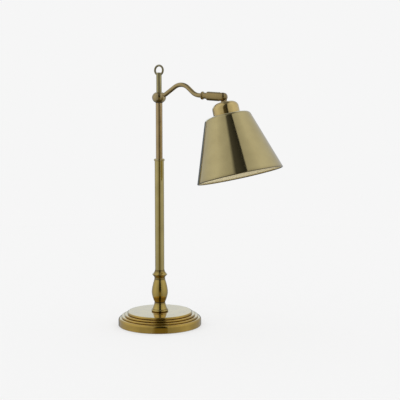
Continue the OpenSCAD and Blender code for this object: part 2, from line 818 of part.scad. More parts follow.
module arm_ferrule() {
    bead_r = ferrule_bead_d / 2;
    color(brass) on_arm(p_ferrule, -droop) difference() {
        rotate([0, 90, 0]) rotate_extrude() {
            translate([0, ferrule_bead_w / 2]) square([ferrule_d / 2, ferrule_len - ferrule_bead_w / 2]);
            square([bead_r - ferrule_bead_w / 2, ferrule_bead_w]);
            translate([bead_r - ferrule_bead_w / 2, ferrule_bead_w / 2]) circle(d = ferrule_bead_w);
        }
        translate([-past, 0, 0]) bar(arm_r + fit_gap, ferrule_len + 2 * past);
    }
}

module knuckle() {
    color(brass) on_arm(pivot, -droop) difference() {
        union() {
            sphere(knuckle_r);
            rotate([0, -90, 0]) rotate_extrude() rounded_section(knuckle_r, 0, knuckle_len, knuckle_round);
        }
        translate([-slot_root, -slot_w / 2, -knuckle_d]) cube([knuckle_d * 2, slot_w, knuckle_d * 2]);
        translate([-knuckle_len - past, 0, 0]) bar(arm_r + fit_gap, arm_grip + past);
        translate([-knuckle_len, 0, 0]) bar(arm_bore_r, knuckle_len);
        rotate([90, 0, 0]) translate([0, 0, -knuckle_d])
            cylinder(r = pivot_r + fit_gap, h = knuckle_d + pivot_tip_y);
        rotate([-90, 0, 0]) translate([0, 0, pivot_head_y])
            cylinder(d = pivot_head_d + 2 * hole_gap, h = knuckle_d);
    }
}

module pivot_screw() {
    color(steel) on_arm(pivot, -droop) rotate([-90, 0, 0]) difference() {
        union() {
            translate([0, 0, -pivot_tip_y + hole_gap])
                cylinder(r = pivot_r, h = pivot_tip_y + pivot_head_y);
            translate([0, 0, pivot_head_y]) cylinder(d = pivot_head_d, h = pivot_head_t);
        }
        translate([-pivot_head_d, -pivot_slot_w / 2, pivot_head_y + pivot_head_t / 2])
            cube([2 * pivot_head_d, pivot_slot_w, pivot_head_t]);
    }
}

module pivot_washers() {
    color(nylon) on_arm(pivot, -droop) for (side = [-1, 1])
        translate([0, side * (slot_w - pivot_washer_t - face_gap) / 2, 0])
            rotate([90, 0, 0])
                translate([0, 0, -pivot_washer_t / 2])
                    tube(pivot_washer_d / 2, pivot_r + fit_gap, pivot_washer_t);
}

// Tilting head

module tongue() {
    wire_lean = atan(wire_side / -stud_end);
    color(brass) in_head() difference() {
        union() {
            intersection() {
                sphere(tongue_r);
                cube([knuckle_d * 2, tongue_t, knuckle_d * 2], center = true);
            }
            translate([-tongue_w / 2, -tongue_t / 2, cap_top]) cube([tongue_w, tongue_t, cap_drop]);
            translate([0, 0, stud_end]) cylinder(r = stud_r, h = stud_len);
        }
        rotate([90, 0, 0]) cylinder(r = pivot_r + run_gap, h = knuckle_d, center = true);
        translate([0, 0, stud_end]) rotate([0, -wire_lean, 0])
            translate([0, 0, -past]) cylinder(r = wire_r, h = stud_len + cap_drop + knuckle_d);
    }
}

module cap() {
    color(bright_brass) in_head() difference() {
        rotate_extrude() difference() {
            rounded_section(cap_r, cap_rim, cap_top, cap_round);
            rounded_section(cap_r - cap_t, cap_rim - past, cap_top - cap_t, cap_round - cap_t);
        }
        translate([0, 0, cap_rim]) cylinder(r = stud_r + fit_gap, h = cap_h + past);
    }
}

module cap_nut() {
    color(steel) in_head() translate([0, 0, cap_nut_z]) difference() {
        cylinder(d = cap_nut_af / cos(30), h = cap_nut_t, $fn = 6);
        translate([0, 0, -past]) cylinder(r = stud_r + fit_gap, h = cap_nut_t + 2 * past);
    }
}

module lampholder() {
    color(phenolic) in_head() difference() {
        union() {
            translate([0, 0, holder_shoulder]) cylinder(d = boss_d, h = holder_top - holder_shoulder);
            translate([0, 0, holder_mouth]) cylinder(r = holder_r, h = holder_shoulder - holder_mouth);
            translate([0, 0, cap_rim]) cylinder(d = flange_d, h = flange_t);
        }
        translate([0, 0, stud_end - hole_gap]) cylinder(r = stud_r + fit_gap, h = stud_len);
        translate([0, 0, wiring_z]) cylinder(d = wiring_d, h = stud_end - hole_gap - wiring_z);
        translate([0, 0, socket_top - past]) cylinder(r = wire_r, h = partition_t + 2 * past);
        translate([0, 0, holder_mouth - past]) cylinder(r = socket_r, h = socket_depth + past);
    }
}

module screw_shell() {
    color(bright_brass) in_head() translate([0, 0, holder_mouth + bulb_tip])
        tube(socket_r - fit_gap, screw_shell_in_r, socket_depth - 2 * bulb_tip);
}

module centre_contact() {
    color(bright_brass) in_head() translate([0, 0, contact_z]) cylinder(d = contact_d, h = contact_t);
}

// The half section of the shade: flat seat, sloping top, rounded corner, straight side
module shade_section() {
    seat_turn = tan(shade_top_slope / 2);
    outer = concat(
        [[shade_hole_r, cap_rim], [shade_flat_r, cap_rim]],
        arc(shade_arc, shade_round, 90 - shade_top_slope, 90 - shade_side_slope),
        [shade_rim]
    );
    inner = concat(
        [shade_rim + shade_t * shade_side_in],
        arc(shade_arc, shade_round - shade_t, 90 - shade_side_slope, 90 - shade_top_slope),
        [[shade_flat_r - shade_t * seat_turn, cap_rim - shade_t], [shade_hole_r, cap_rim - shade_t]]
    );
    polygon(concat(outer, inner));
}

module shade() {
    color(brass) in_head() {
        rotate_extrude() shade_section();
        rotate_extrude()
            translate(shade_rim + (rim_bead_r - shade_t / 2) * shade_side_in) circle(rim_bead_r);
    }
}

module shade_ring() {
    color(phenolic) in_head() translate([0, 0, cap_rim - shade_t - shade_ring_h])
        tube(holder_r + shade_ring_w, holder_r + fit_gap, shade_ring_h);
}

module bulb_cap() {
    color(steel) in_head() {
        translate([0, 0, bulb_cap_end]) cylinder(r = bulb_cap_r, h = bulb_cap_top - bulb_cap_end);
        translate([0, 0, bulb_cap_top]) cylinder(d1 = bulb_tip_d, d2 = contact_d, h = bulb_tip);
    }
}

// A round globe that narrows to a neck, shrunk by a wall for its inside
module globe(wall) {
    translate([0, 0, bulb_z]) sphere(bulb_r - wall);
    translate([0, 0, bulb_z + bulb_shoulder])
        cylinder(r1 = bulb_shoulder_r - wall, r2 = neck_r - wall, h = bulb_cap_end - bulb_z - bulb_shoulder);
}

module bulb_glass() {
    color(opal) in_head() difference() {
        globe(0);
        globe(glass_t);
        translate([0, 0, bulb_cap_end - past]) cylinder(r = neck_r - glass_t, h = 2 * past);
    }
}

base_shell();
ballast();
bottom_plate();
felt_pad();
plate_screws();
inlet_grommet();
stem_nipple();
nipple_washer();
nipple_nut();
baluster();
tube_plug();
lower_tube();
guide_bush();
tube_collar();
upper_tube();
friction_bush();
rod();
thrust_washer();
ring_finial();
ball_boss();
swivel_screw();
arm_tube();
arm_ferrule();
knuckle();
pivot_screw();
pivot_washers();
tongue();
cap();
cap_nut();
lampholder();
screw_shell();
centre_contact();
shade();
shade_ring();
bulb_cap();
bulb_glass();
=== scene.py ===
# A brass task lamp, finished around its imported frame. Metres, +Z up, the arm along +X.
import json
import math

import bmesh
import bpy
from mathutils import Matrix, Vector


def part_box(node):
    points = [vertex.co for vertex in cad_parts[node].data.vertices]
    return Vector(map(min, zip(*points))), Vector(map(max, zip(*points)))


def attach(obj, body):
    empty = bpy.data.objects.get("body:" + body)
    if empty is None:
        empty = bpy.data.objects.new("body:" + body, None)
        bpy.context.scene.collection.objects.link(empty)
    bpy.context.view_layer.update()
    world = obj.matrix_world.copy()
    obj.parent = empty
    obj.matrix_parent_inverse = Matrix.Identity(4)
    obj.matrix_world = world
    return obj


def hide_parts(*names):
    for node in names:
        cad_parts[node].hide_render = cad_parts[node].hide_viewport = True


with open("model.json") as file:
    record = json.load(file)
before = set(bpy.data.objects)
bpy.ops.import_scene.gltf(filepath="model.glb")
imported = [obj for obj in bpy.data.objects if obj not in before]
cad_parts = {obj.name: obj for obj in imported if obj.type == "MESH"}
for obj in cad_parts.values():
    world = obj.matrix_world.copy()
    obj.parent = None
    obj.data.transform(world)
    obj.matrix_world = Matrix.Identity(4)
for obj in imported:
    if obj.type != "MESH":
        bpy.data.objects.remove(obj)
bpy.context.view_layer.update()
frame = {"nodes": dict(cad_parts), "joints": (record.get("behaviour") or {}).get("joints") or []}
scene = bpy.context.scene

# Camera
# A long lens stands a little above the shade's rim and looks slightly down, from the side of the
# arm, so that the shade comes a little towards the viewer.
view_place = Vector((0.8825, -1.36, 0.384))
view_turn = math.radians(30.18)
view_dip = math.radians(4.85)
focal_px = 832
frame_px = 400
film_mm = 36

lens = bpy.data.cameras.new("long_lens")
lens.sensor_width = film_mm
lens.lens = film_mm * focal_px / frame_px
camera = bpy.data.objects.new("camera", lens)
camera.location = view_place
camera.rotation_euler = (math.pi / 2 - view_dip, 0, view_turn)
scene.collection.objects.link(camera)
scene.camera = camera
scene.view_settings.view_transform = "Standard"

# Studio light
# Two tall curved sheets of white cloth stand left and right of the lamp, with a dark gap for the
# viewer between them, which gives polished brass its dark middle line. Around them is a dim room
# with a pale backdrop behind the lamp.

# A level is a brightness, and a share multiplies one. A rise is the upward part of a direction.
room_fill = 1.15
backdrop_level = 0.922
backdrop_tone = 0.80, 0.90, 1.0
backdrop_depth = -0.4, -0.75
backdrop_rise = 0.09, 0.17
rim_level = 0.17
gap_level = 0.03
gap_sides = -0.2, 0.28
gap_shares = 2.1, 0.05
gap_tone = 1.0, 0.83, 0.34
gap_tone_rise = 0.1, 0.4
table_level = 0.2
table_rise = 0.1, -0.2
ceiling_level = 0.12
ceiling_rise = 0.86, 0.98
pit_share = 0.35
pit_rise = -0.4, -0.95


def add_node(tree, kind, sockets=None, **settings):
    """Adds a shader node. Each socket takes a plain value or another node's output."""
    node = tree.nodes.new(kind)
    for name, value in settings.items():
        setattr(node, name, value)
    for name, value in (sockets or {}).items():
        if isinstance(value, bpy.types.NodeSocket):
            tree.links.new(value, node.inputs[name])
        else:
            node.inputs[name].default_value = value
    return node


def between(tree, value, limits, low=0.0, high=1.0):
    """A slope from low to high as a value goes from one limit to the other, and level beyond them."""
    sockets = {"Value": value, "From Min": limits[0], "From Max": limits[1], "To Min": low, "To Max": high}
    return add_node(tree, "ShaderNodeMapRange", sockets).outputs["Result"]


def combine(tree, operation, *values):
    """The result of one arithmetic step."""
    return add_node(tree, "ShaderNodeMath", dict(enumerate(values)), operation=operation).outputs[0]


def blend(tree, factor, low, high):
    """A value between low and high, by a factor from 0 to 1."""
    return add_node(tree, "ShaderNodeMix", {0: factor, 2: low, 3: high}, data_type="FLOAT").outputs[0]


def reach(tree, place, direction):
    """How far a place lies in a direction."""
    sockets = {0: place, 1: direction}
    return add_node(tree, "ShaderNodeVectorMath", sockets, operation="DOT_PRODUCT").outputs["Value"]


to_viewer = math.sin(view_turn), -math.cos(view_turn), 0
to_right = math.cos(view_turn), math.sin(view_turn), 0
upwards = 0, 0, 1
room = bpy.data.worlds.new("room")
room.use_nodes = True
room.cycles.sampling_method = "NONE"
tree = room.node_tree
tree.nodes.clear()
ray = add_node(tree, "ShaderNodeTexCoord").outputs["Generated"]
rise = reach(tree, ray, upwards)
gap_share = between(tree, reach(tree, ray, to_right), gap_sides, *gap_shares)
gap = combine(tree, "MULTIPLY", gap_share, gap_level)
ahead = between(tree, rise, table_rise, gap, table_level)
backdrop = between(tree, rise, backdrop_rise, rim_level, backdrop_level)
behind = between(tree, reach(tree, ray, to_viewer), backdrop_depth)
around = blend(tree, behind, ahead, backdrop)
under_ceiling = blend(tree, between(tree, rise, ceiling_rise), around, ceiling_level)
underneath = between(tree, rise, pit_rise, 1.0, pit_share)
mirrored = combine(tree, "MULTIPLY", under_ceiling, underneath)
path = add_node(tree, "ShaderNodeLightPath")
level = blend(tree, path.outputs["Is Glossy Ray"], room_fill, mirrored)
level = blend(tree, path.outputs["Is Camera Ray"], level, backdrop_level)
tones = {0: between(tree, rise, gap_tone_rise), 6: (*gap_tone, 1), 7: (1, 1, 1, 1)}
ahead_tone = add_node(tree, "ShaderNodeMix", tones, data_type="RGBA").outputs[2]
tones = {0: behind, 6: ahead_tone, 7: (*backdrop_tone, 1)}
mirrored_tone = add_node(tree, "ShaderNodeMix", tones, data_type="RGBA").outputs[2]
tones = {0: path.outputs["Is Glossy Ray"], 6: (1, 1, 1, 1), 7: mirrored_tone}
colour = add_node(tree, "ShaderNodeMix", tones, data_type="RGBA").outputs[2]
glow = add_node(tree, "ShaderNodeBackground", {"Color": colour, "Strength": level})
add_node(tree, "ShaderNodeOutputWorld", {"Surface": glow.outputs[0]})
scene.world = room

cloth_r = 0.7
cloth_low = -0.6
cloth_high = 3.0
cloth_level = 0.72
bright_heights = 0.5, 1.4
end_share = 0.5
low_heights = 0.45, 0.7
front_part = 0.95, 0.45
front_shares = 0.63, 0.94
rear_part = 0.2, -0.65
rear_share = 0.79


def hang_cloth(name, bearings, edge, low_share):
    """Hangs a lit sheet between two bearings from the viewer, in degrees, fading across one edge."""
    cloth = bpy.data.materials.new(name)
    cloth.use_nodes = True
    tree = cloth.node_tree
    tree.nodes.clear()
    place = add_node(tree, "ShaderNodeTexCoord").outputs["Object"]
    height = reach(tree, place, upwards)
    front = reach(tree, place, to_viewer)
    fade = [math.sin(math.radians(bearing)) * cloth_r for bearing in edge]
    soft_edge = between(tree, reach(tree, place, to_right), fade)
    parts = [
        between(tree, height, (cloth_low, bright_heights[0]), end_share, 1.0),
        between(tree, height, (bright_heights[1], cloth_high), 1.0, end_share),
        between(tree, height, low_heights, low_share, 1.0),
        between(tree, front, [part * cloth_r for part in front_part], *front_shares),
        between(tree, front, [part * cloth_r for part in rear_part], 1.0, rear_share),
    ]
    level = cloth_level
    for part in parts:
        level = combine(tree, "MULTIPLY", part, level)
    lit = add_node(tree, "ShaderNodeEmission", {"Strength": level}).outputs[0]
    clear = add_node(tree, "ShaderNodeBsdfTransparent").outputs[0]
    hung = add_node(tree, "ShaderNodeMixShader", {0: soft_edge, 1: clear, 2: lit}).outputs[0]
    add_node(tree, "ShaderNodeOutputMaterial", {"Surface": hung})
    bm = bmesh.new()
    turn = view_turn + math.radians(bearings[0])
    edge_place = math.sin(turn) * cloth_r, -math.cos(turn) * cloth_r
    ends = [bm.verts.new((*edge_place, height)) for height in (cloth_low, cloth_high)]
    bm.edges.new(ends)
    bmesh.ops.spin(bm, geom=bm.verts[:] + bm.edges[:], cent=(0, 0, 0), axis=upwards,
                   angle=math.radians(bearings[1] - bearings[0]), steps=48)
    mesh = bpy.data.meshes.new(name)
    bm.to_mesh(mesh)
    bm.free()
    mesh.materials.append(cloth)
    sheet = bpy.data.objects.new(name, mesh)
    sheet.visible_camera = False
    sheet.visible_diffuse = False
    sheet.visible_shadow = False
    scene.collection.objects.link(sheet)


hang_cloth("left_cloth", (-145, -9), (-9, -18), 1.0)
hang_cloth("right_cloth", (22, 165), (22, 23), 0.93)

# Floor
# A round sheet of pale acrylic, lit evenly from below like a light table, so that shadows stay
# faint. It thins out into the backdrop and lies just under the felt.
floor_r = 3.0
floor_fade = 0.9, 2.6
floor_drop = 0.0003
acrylic_albedo = 0.3
frost_depth = 0.002
acrylic_glow = backdrop_level - acrylic_albedo * room_fill


def noise(tree, place, scale, detail):
    """A soft random pattern from 0 to 1."""
    sockets = {"Vector": place, "Scale": scale, "Detail": detail}
    return add_node(tree, "ShaderNodeTexNoise", sockets).outputs["Fac"]


acrylic = bpy.data.materials.new("pale_acrylic")
acrylic.use_nodes = True
tree = acrylic.node_tree
sheet = tree.nodes["Principled BSDF"]
sheet.inputs["Roughness"].default_value = 0.95
sheet.inputs["Specular IOR Level"].default_value = 0.0
sheet.inputs["Emission Color"].default_value = (1, 1, 1, 1)
sheet.inputs["Emission Strength"].default_value = acrylic_glow
place = add_node(tree, "ShaderNodeTexCoord").outputs["Object"]
frost = noise(tree, place, 60, 5)
tone = between(tree, frost, (0.2, 0.8), acrylic_albedo - frost_depth, acrylic_albedo + frost_depth)
grey = add_node(tree, "ShaderNodeCombineColor", {0: tone, 1: tone, 2: tone}).outputs[0]
tree.links.new(grey, sheet.inputs["Base Color"])
from_middle = add_node(tree, "ShaderNodeVectorMath", {0: place}, operation="LENGTH").outputs["Value"]
clear = add_node(tree, "ShaderNodeBsdfTransparent").outputs[0]
thinned = {0: between(tree, from_middle, floor_fade), 1: sheet.outputs[0], 2: clear}
surface = add_node(tree, "ShaderNodeMixShader", thinned).outputs[0]
tree.links.new(surface, tree.nodes["Material Output"].inputs["Surface"])

bm = bmesh.new()
bmesh.ops.create_circle(bm, cap_ends=True, segments=96, radius=floor_r)
bmesh.ops.translate(bm, verts=bm.verts[:], vec=(0, 0, -floor_drop))
floor_mesh = bpy.data.meshes.new("floor")
bm.to_mesh(floor_mesh)
bm.free()
floor_mesh.materials.append(acrylic)
floor = bpy.data.objects.new("floor", floor_mesh)
floor.visible_glossy = False
scene.collection.objects.link(floor)

# Felt sole
# A die-cut disc of dark wool felt, glued under the bottom plate. Its edge stands a little
# below the brass and is soft.
MM = 0.001


def span(node):
    """A node's lowest and highest corners, in millimetres."""
    low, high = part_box(node)
    return low / MM, high / MM


def turned(outline, steps=128, closed=False, longest=3.0):
    """A shape turned about Z from an outline of (radius, height, rounding) points in millimetres."""
    bm = bmesh.new()
    points = [bm.verts.new((r * MM, 0, z * MM)) for r, z, _ in outline]
    ends = points[1:] + points[:1] if closed else points[1:]
    for start, end in zip(points, ends):
        bm.edges.new((start, end))
    for point, (_, _, rounding) in zip(points, outline):
        if rounding:
            segments = max(4, min(16, round(rounding * 3)))
            bmesh.ops.bevel(bm, geom=[point], offset=rounding * MM, segments=segments, profile=0.5,
                            affect="VERTICES", material=-1)
    for edge in bm.edges[:]:
        cuts = int(edge.calc_length() / MM / longest)
        if cuts:
            bmesh.ops.subdivide_edges(bm, edges=[edge], cuts=cuts)
    bmesh.ops.spin(bm, geom=bm.verts[:] + bm.edges[:], cent=(0, 0, 0), axis=(0, 0, 1), angle=2 * math.pi,
                   steps=steps, use_merge=True)
    bmesh.ops.remove_doubles(bm, verts=bm.verts[:], dist=0.001 * MM)
    bmesh.ops.recalc_face_normals(bm, faces=bm.faces[:])
    return bm


def mark_hollows(bm, strength=5.0):
    """Stores how deep each point lies among its neighbours: 0 on a ridge, 0.5 on a flat, 1 in a groove."""
    hollow = bm.verts.layers.float.new("hollow")
    bm.normal_update()
    for point in bm.verts:
        leans = [(edge.other_vert(point).co - point.co).normalized().dot(point.normal)
                 for edge in point.link_edges]
        mean = sum(leans) / max(len(leans), 1)
        point[hollow] = min(max(0.5 + strength * mean, 0), 1)


def make_piece(bm, name, *finishes, crease=40):
    """Links a mesh as an object at the origin, shaded smooth apart from its sharp creases."""
    mark_hollows(bm)
    for face in bm.faces:
        face.smooth = True
    for edge in bm.edges:
        edge.smooth = edge.calc_face_angle(math.pi) < math.radians(crease)
    mesh = bpy.data.meshes.new(name)
    bm.to_mesh(mesh)
    bm.free()
    for finish in finishes:
        mesh.materials.append(finish)
    piece = bpy.data.objects.new(name, mesh)
    scene.collection.objects.link(piece)
    even = piece.modifiers.new("even_facets", "WEIGHTED_NORMAL")
    even.keep_sharp = True
    return piece


def new_finish(name):
    """An empty procedural finish: its node tree, its shader and the object coordinates."""
    finish = bpy.data.materials.new(name)
    finish.use_nodes = True
    tree = finish.node_tree
    place = add_node(tree, "ShaderNodeTexCoord").outputs["Object"]
    return finish, tree, tree.nodes["Principled BSDF"], place


def two_tone(tree, factor, dark, light):
    """A colour between two tones."""
    sockets = {0: factor, 6: (*dark, 1), 7: (*light, 1)}
    return add_node(tree, "ShaderNodeMix", sockets, data_type="RGBA").outputs[2]


def raise_grain(tree, shader, height, strength, depth):
    """Bumps a surface by a grain's height."""
    bump = add_node(tree, "ShaderNodeBump", {"Height": height, "Strength": strength, "Distance": depth})
    tree.links.new(bump.outputs[0], shader.inputs["Normal"])


def wool_felt():
    """Matted dark wool with a soft sheen."""
    finish, tree, shader, place = new_finish("wool_felt")
    fibres = noise(tree, place, 900, 6)
    tone = two_tone(tree, between(tree, fibres, (0.3, 0.7)), (0.014, 0.011, 0.008), (0.035, 0.028, 0.02))
    tree.links.new(tone, shader.inputs["Base Color"])
    shader.inputs["Roughness"].default_value = 1.0
    shader.inputs["Sheen Weight"].default_value = 0.4
    raise_grain(tree, shader, fibres, 0.6, 0.0004)
    return finish


low, high = span("felt_pad")
foot_inset = 0.3
brow_inset = 0.5
brow_h = 0.6
outline = [
    (0, low.z, 0), (high.x - foot_inset, low.z, 0.4), (high.x, high.z - brow_h, 0.6),
    (high.x - brow_inset, high.z, 0), (0, high.z, 0),
]
sole = make_piece(turned(outline), "felt_sole", wool_felt())
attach(sole, "stand")
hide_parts("felt_pad")

# Bottom plate, ballast and stem clamp
# A zinc-plated steel disc closes the base under a cast-iron weight. A hollow threaded nipple with
# its washer and nut draws the baluster down on them, and three screws hold the plate.


def zinc_steel():
    """Zinc-plated steel with a faint spangle."""
    finish, tree, shader, place = new_finish("zinc_steel")
    spangle = add_node(tree, "ShaderNodeTexVoronoi", {"Vector": place, "Scale": 350}).outputs["Distance"]
    tone = two_tone(tree, between(tree, spangle, (0.0, 0.7)), (0.50, 0.51, 0.53), (0.66, 0.67, 0.68))
    tree.links.new(tone, shader.inputs["Base Color"])
    tree.links.new(between(tree, spangle, (0.0, 0.8), 0.25, 0.42), shader.inputs["Roughness"])
    shader.inputs["Metallic"].default_value = 1.0
    return finish


def cast_iron():
    """Grey iron as it comes out of the sand."""
    finish, tree, shader, place = new_finish("cast_iron")
    sand = noise(tree, place, 420, 5)
    tone = two_tone(tree, sand, (0.035, 0.034, 0.034), (0.09, 0.085, 0.08))
    tree.links.new(tone, shader.inputs["Base Color"])
    shader.inputs["Metallic"].default_value = 0.7
    tree.links.new(between(tree, sand, (0.2, 0.8), 0.55, 0.8), shader.inputs["Roughness"])
    raise_grain(tree, shader, sand, 0.5, 0.0006)
    return finish


def dress_nodes(finish, *nodes):
    """Gives a finish to solids that keep their own shape."""
    for node in nodes:
        mesh = frame["nodes"][node].data
        mesh.materials.clear()
        mesh.materials.append(finish)


zinc = zinc_steel()
dress_nodes(zinc, "bottom_plate", "plate_screws", "stem_nipple", "nipple_washer", "nipple_nut", "tube_plug")
dress_nodes(cast_iron(), "ballast")

# Stepped base
# A bowl of sheet brass, spun over a former: a wall with a rounded shoulder, two narrow steps with
# round undercut lips, and a flat polished plate on top.


def arc(centre, radius, start, end, steps=16):
    """Outline points of an arc about a (radius, height) centre, between two angles in degrees."""
    angles = [math.radians(start + (end - start) * i / steps) for i in range(steps + 1)]
    return [(centre[0] + radius * math.cos(angle), centre[1] + radius * math.sin(angle), 0)
            for angle in angles]


# How far a zone of painted shade goes towards the patina's colour.
painted_shade_depth = 0.55


def brass(name, tint, patina, gloss, place=(0, 0, 0), turn=(0, 0, 0), painted_shades=()):
    """Lacquered antique brass with fine turning lines about the piece's own axis and dark hollows.

    Each zone of painted shade is painted darker, standing in for shade and dark reflection: four heights in
    millimetres between which it comes and goes.
    """
    finish, tree, shader, where = new_finish(name)
    sockets = {"Vector": where, "Location": place, "Rotation": turn}
    own = add_node(tree, "ShaderNodeMapping", sockets, vector_type="TEXTURE").outputs["Vector"]
    clouds = noise(tree, own, 45, 4)
    part = add_node(tree, "ShaderNodeSeparateXYZ", {0: own})
    flat = add_node(tree, "ShaderNodeCombineXYZ", {0: part.outputs["X"], 1: part.outputs["Y"]}).outputs[0]
    radius = add_node(tree, "ShaderNodeVectorMath", {0: flat}, operation="LENGTH").outputs["Value"]
    rings = add_node(tree, "ShaderNodeCombineXYZ", {0: radius, 2: part.outputs["Z"]}).outputs[0]
    lines = noise(tree, rings, 1500, 3)
    hollow = add_node(tree, "ShaderNodeAttribute", attribute_name="hollow").outputs["Fac"]
    cloudy = between(tree, clouds, (0.35, 0.75), 0.0, 0.25)
    # Real patina from cloudy mottling and in the hollows, to which the zones of painted shade are added
    # below.
    patina_and_painted_shade = combine(tree, "ADD", cloudy, between(tree, hollow, (0.55, 0.9), 0.0, 0.75))
    # Painted shade: each zone darkens the colour towards the patina, standing in for shade and dark
    # reflection.
    for start, full, last, end in painted_shades:
        come = between(tree, part.outputs["Z"], (start * MM, full * MM), 0.0, painted_shade_depth)
        stay = between(tree, part.outputs["Z"], (end * MM, last * MM))
        patina_and_painted_shade = combine(tree, "ADD", patina_and_painted_shade, combine(tree, "MULTIPLY", come, stay))
    tree.links.new(two_tone(tree, patina_and_painted_shade, tint, patina), shader.inputs["Base Color"])
    shader.inputs["Metallic"].default_value = 1.0
    shader.inputs["Coat Weight"].default_value = 1.0
    shader.inputs["Coat Roughness"].default_value = 0.06
    grain = combine(tree, "ADD", between(tree, lines, (0.3, 0.7), -0.03, 0.04), gloss)
    rough = combine(tree, "ADD", grain, between(tree, clouds, (0.3, 0.7), 0.0, 0.03))
    tree.links.new(rough, shader.inputs["Roughness"])
    raise_grain(tree, shader, lines, 0.04, 0.0001)
    return finish


low, high = span("base_shell")
wall_top = 15.8
shoulder_r = 5.0
step_back = 5.9
step_h = 3.4
lip_under = 1.5
lip_land = 0.2
lip_tuck = -80
sheet_t = 1.5
stem_hole_r = 5.2
step_tops = wall_top, wall_top + step_h, wall_top + 2 * step_h, high.z
step_edges = [high.x - i * step_back for i in range(4)]
shoulder = high.x - shoulder_r, wall_top - shoulder_r
outline = [(high.x - sheet_t, low.z, 0.2), (high.x, low.z, 0.4), *arc(shoulder, shoulder_r, 0, 90)]
for i in (1, 2, 3):
    lip_over = step_tops[i] - step_tops[i - 1] - lip_under - lip_land
    outline += arc((step_edges[i] - lip_under, step_tops[i - 1] + lip_under), lip_under, lip_tuck, 0, 8)
    outline += arc((step_edges[i] - lip_over, step_tops[i] - lip_over), lip_over, 0, 90, 8)
outline += [(stem_hole_r, high.z, 0), (stem_hole_r, high.z - sheet_t, 0)]
for i in (3, 2, 1):
    inner_r = step_edges[i] - lip_under - sheet_t
    outline += [(inner_r, step_tops[i] - sheet_t, 0.5), (inner_r, step_tops[i - 1] - sheet_t, 0)]
outline += arc(shoulder, shoulder_r - sheet_t, 90, 0)
base = make_piece(
    turned(outline, steps=192, closed=True), "stepped_base",
    brass("base_brass", (0.70, 0.462, 0.078), (0.06, 0.042, 0.016), 0.1))
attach(base, "stand")
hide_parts("base_shell")

# Cord inlet
# A black rubber grommet snapped into the rear of the base's wall, with a flange on each side of the
# sheet and a rounded bore for the flex.


def black_rubber():
    """Matt black rubber with a faint bloom."""
    finish, tree, shader, place = new_finish("black_rubber")
    bloom = noise(tree, place, 700, 3)
    tone = two_tone(tree, bloom, (0.012, 0.011, 0.01), (0.03, 0.028, 0.026))
    tree.links.new(tone, shader.inputs["Base Color"])
    tree.links.new(between(tree, bloom, (0.2, 0.8), 0.55, 0.75), shader.inputs["Roughness"])
    raise_grain(tree, shader, bloom, 0.2, 0.0002)
    return finish


low, high = span("inlet_grommet")
flange_r = (high.y - low.y) / 2
flange_w = 0.6
flange_t = 1.6
bush_wall = 0.8
body_r = flange_r - flange_w
bore_r = body_r - bush_wall
length = high.x - low.x
outline = [
    (bore_r, 0, 0.5), (flange_r, 0, 0.6), (flange_r, flange_t, 0.3), (body_r, flange_t, 0.1),
    (body_r, length - flange_t, 0.1), (flange_r, length - flange_t, 0.3), (flange_r, length, 0.6),
    (bore_r, length, 0.5),
]
bm = turned(outline, steps=64, closed=True)
inlet = Vector((low.x, 0, (low.z + high.z) / 2)) * MM
through_wall = Matrix.Translation(inlet) @ Matrix.Rotation(math.pi / 2, 4, "Y")
bmesh.ops.transform(bm, verts=bm.verts[:], matrix=through_wall)
grommet = make_piece(bm, "inlet_bush", black_rubber())
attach(grommet, "stand")
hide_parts("inlet_grommet")

# Baluster
# Turned from solid brass: a bell-shaped foot, a crease, a long vase, a small fillet, and a sharp
# bead whose top sweeps in to the lower tube. The nipple clamps it to the base.
low, high = span("baluster")
foot_r, waist_r, belly_r, neck_r, bead_r = 16.7, 10.5, 15.8, 10.3, 14.9
foot = low.z
waist, belly, neck, bead = foot + 18.5, foot + 38.5, foot + 64.5, foot + 73.0
foot_curve, vase_curve, neck_curve, bead_curve = 1.5, 1.7, 1.55, 2.0
mouth_r = 9.4
tube_seat_r = 9.06
tube_seat_depth = 3
edge_r = 1.7
fillet_r = neck_r + 0.4
fillet_top = neck + 2.0
nick = 0.1


def flare(start, end, power, steps=14):
    """Outline points between two (radius, height) points, on a curve that starts upright."""
    ways = [(i / steps) ** power for i in range(1, steps + 1)]
    return [(start[0] + (end[0] - start[0]) * way, start[1] + (end[1] - start[1]) * i / steps, 0)
            for i, way in enumerate(ways, 1)]


def settle(start, end, power, steps=14):
    """Outline points between two (radius, height) points, on a curve that ends upright."""
    return [*flare(end, start, power, steps)[-2::-1], (*end, 0)]


outline = [
    (stem_hole_r, foot, 0),
    *arc((foot_r - edge_r, foot + edge_r), edge_r, -90, 60, 10),
    *settle((foot_r - edge_r, foot + 2 * edge_r), (waist_r, waist), foot_curve),
    *settle((waist_r, waist), (belly_r, belly), vase_curve),
    *flare((belly_r, belly), (neck_r, neck), neck_curve),
    (fillet_r, neck + nick, 0.2), (fillet_r, fillet_top, 0.3), (neck_r, fillet_top + nick, 0.1),
    *flare((neck_r, fillet_top), (bead_r, bead), neck_curve)[1:],
    *settle((bead_r, bead), (mouth_r, high.z), bead_curve),
    (tube_seat_r, high.z, 0), (tube_seat_r, high.z - tube_seat_depth, 0),
    (stem_hole_r, high.z - tube_seat_depth, 0),
]
# Painted shade: darker bands at the foot's edge, around the waist, at the neck and above the bead stand in
# for shade and dark reflection.
baluster_painted_shades = [
    (foot - 1, foot, foot + 1.5, foot + 2.5),
    (waist - 5, waist - 1, waist + 9, waist + 11.5),
    (neck - 4, neck + 3, bead - 1, bead + 2),
    (bead + 1, bead + 8, bead + 12, bead + 13),
]
baluster = make_piece(
    turned(outline, steps=96, closed=True, longest=2.0), "turned_baluster",
    brass("baluster_brass", (0.70, 0.51, 0.115), (0.07, 0.045, 0.012), 0.13, painted_shades=baluster_painted_shades))
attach(baluster, "stand")
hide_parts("baluster")

